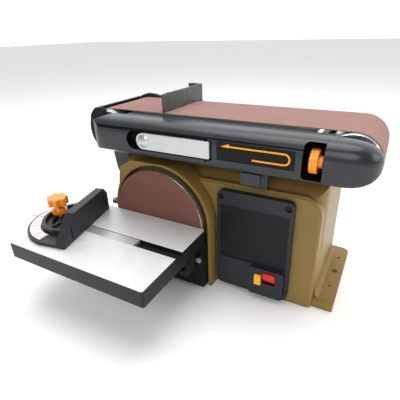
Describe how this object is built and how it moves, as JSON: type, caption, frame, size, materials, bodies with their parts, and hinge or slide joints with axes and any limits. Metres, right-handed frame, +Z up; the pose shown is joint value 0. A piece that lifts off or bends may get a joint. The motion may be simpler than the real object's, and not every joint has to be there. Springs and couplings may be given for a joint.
{
  "type": "belt and disc bench sander",
  "caption": "Bench sander: a wide sanding belt on a tilting arm over a metal base, with a sanding disc, tilting table and mitre gauge at the front.",
  "frame": {"origin": "middle of the whole machine's box, at the underside of the base", "axes": "+Z up, +X along the belt towards the tracking knob end, +Y to the back, away from the disc"},
  "size_m": [0.478, 0.386, 0.284],
  "materials": {
    "base_paint": "powder coat",
    "cast_paint": "satin",
    "motor_steel": "satin",
    "cover_plastic": "satin",
    "panel_plastic": "satin",
    "black_plastic": "matte",
    "light_grey_plastic": "satin",
    "grey_sheet": "satin",
    "steel": "brushed",
    "aluminium": "machined",
    "belt_grit": "coated abrasive",
    "disc_grit": "coated abrasive",
    "orange_plastic": "gloss",
    "red_plastic": "gloss",
    "yellow_plastic": "gloss",
    "white_print": "printed",
    "label_film": "printed",
    "rubber": "matte"
  },
  "bodies": {
    "base": {"base_housing": "base_paint", "motor_housing": "motor_steel", "drive_bearing_housing": "cast_paint", "pulley_cover": "light_grey_plastic", "cover_screw_top": "steel", "cover_screw_bottom": "steel", "drive_belt": "rubber", "switch_panel": "panel_plastic", "panel_screw_left": "black_plastic", "panel_screw_right": "black_plastic", "switch_bezel": "black_plastic", "lower_disc_guard": "black_plastic", "guard_screw": "steel", "shroud_bolt": "steel", "table_bracket_left": "cast_paint", "table_bracket_right": "cast_paint", "table_pivot_pin_left": "steel", "table_pivot_pin_right": "steel", "arm_rest": "cover_plastic", "rest_pad": "rubber", "dust_chute": "cover_plastic", "cord_gland": "rubber"},
    "rotor": {"motor_shaft": "steel", "motor_pulley": "steel", "motor_fan": "black_plastic", "disc_plate": "aluminium", "abrasive_disc": "disc_grit"},
    "drive_drum_unit": {"drive_drum": "aluminium", "drum_shaft": "steel", "drum_pulley": "steel"},
    "belt_arm": {"arm_frame": "cast_paint", "platen": "steel", "sanding_belt": "belt_grit", "front_cover": "cover_plastic", "end_dome": "cover_plastic", "drum_hood": "black_plastic", "direction_label": "label_film", "lever_pin": "steel", "stop_bolt": "steel"},
    "belt_stop_unit": {"belt_stop": "grey_sheet"},
    "tension_lever_unit": {"tension_lever": "steel"},
    "idler_carriage_unit": {"idler_carriage": "cast_paint", "idler_axle": "steel", "tension_spring": "steel"},
    "idler_unit": {"idler_drum": "aluminium", "idler_bearing_front": "steel", "idler_bearing_rear": "steel"},
    "tracking_unit": {"tracking_knob": "orange_plastic", "tracking_screw": "steel"},
    "table_unit": {"disc_table": "aluminium"},
    "lock_left_unit": {"table_lock_knob_left": "black_plastic"},
    "lock_right_unit": {"table_lock_knob_right": "black_plastic"},
    "mitre_bar_unit": {"mitre_bar": "steel", "mitre_pivot_pin": "steel"},
    "mitre_head_unit": {"mitre_head": "cast_paint", "mitre_scale": "white_print"},
    "mitre_knob_unit": {"mitre_knob": "orange_plastic"},
    "rocker_unit": {"switch_rocker": "red_plastic"},
    "key_unit": {"switch_key": "yellow_plastic"}
  },
  "joints": [
    {"name": "motor_spin", "type": "hinge", "parent": "base", "child": "rotor", "pos_m": [-0.05101, -0.044, 0.105], "axis": [0, 1, 0], "continuous": true},
    {"name": "drum_spin", "type": "hinge", "parent": "base", "child": "drive_drum_unit", "pos_m": [-0.14801, 0.043, 0.225], "axis": [0, 1, 0], "continuous": true},
    {"name": "arm_tilt", "type": "hinge", "parent": "base", "child": "belt_arm", "pos_m": [-0.14801, 0.043, 0.225], "axis": [0, -1, 0], "range_deg": [0, 90]},
    {"name": "tension_lever_turn", "type": "hinge", "parent": "belt_arm", "child": "tension_lever_unit", "pos_m": [0.04199, -0.0565, 0.23035], "axis": [0, 0, 1], "range_deg": [0, 75]},
    {"name": "idler_slide", "type": "slide", "parent": "belt_arm", "child": "idler_carriage_unit", "axis": [1, 0, 0], "range_m": [-0.0061, 0]},
    {"name": "idler_spin", "type": "hinge", "parent": "idler_carriage_unit", "child": "idler_unit", "pos_m": [0.20551, 0.043, 0.225], "axis": [0, 1, 0], "continuous": true},
    {"name": "tracking_knob_turn", "type": "hinge", "parent": "belt_arm", "child": "tracking_unit", "pos_m": [0.16699, -0.0445, 0.2305], "axis": [1, 0, 0], "range_deg": [-180, 180]},
    {"name": "belt_stop_slide", "type": "slide", "parent": "belt_arm", "child": "belt_stop_unit", "axis": [0, 0, 1], "range_m": [0, 0.008]},
    {"name": "table_tilt", "type": "hinge", "parent": "base", "child": "table_unit", "pos_m": [-0.05101, -0.069, 0.091], "axis": [1, 0, 0], "range_deg": [0, 44]},
    {"name": "table_lock_left_turn", "type": "hinge", "parent": "base", "child": "lock_left_unit", "pos_m": [-0.11101, -0.084, 0.06502], "axis": [1, 0, 0], "range_deg": [-180, 180]},
    {"name": "table_lock_right_turn", "type": "hinge", "parent": "base", "child": "lock_right_unit", "pos_m": [0.00899, -0.084, 0.06502], "axis": [1, 0, 0], "range_deg": [-180, 180]},
    {"name": "mitre_slide", "type": "slide", "parent": "table_unit", "child": "mitre_bar_unit", "axis": [1, 0, 0], "range_m": [-0.03, 0.12]},
    {"name": "mitre_head_turn", "type": "hinge", "parent": "mitre_bar_unit", "child": "mitre_head_unit", "pos_m": [-0.15101, -0.1159, 0.108], "axis": [0, 0, 1], "range_deg": [-64, 36]},
    {"name": "mitre_knob_turn", "type": "hinge", "parent": "mitre_bar_unit", "child": "mitre_knob_unit", "pos_m": [-0.17701, -0.1159, 0.135], "axis": [0, 0, 1], "range_deg": [-180, 180]},
    {"name": "rocker_tilt", "type": "hinge", "parent": "base", "child": "rocker_unit", "pos_m": [0.12499, -0.026, 0.042], "axis": [1, 0, 0], "range_deg": [-14, 0]},
    {"name": "key_slide", "type": "slide", "parent": "base", "child": "key_unit", "axis": [0, -1, 0], "range_m": [0, 0.009]}
  ],
  "couplings": [
    {"joint": "drum_spin", "follows": "motor_spin", "ratio": 0.625},
    {"joint": "idler_spin", "follows": "motor_spin", "ratio": 0.625},
    {"joint": "idler_slide", "follows": "tension_lever_turn", "m_per_rad": -0.0045837}
  ]
}
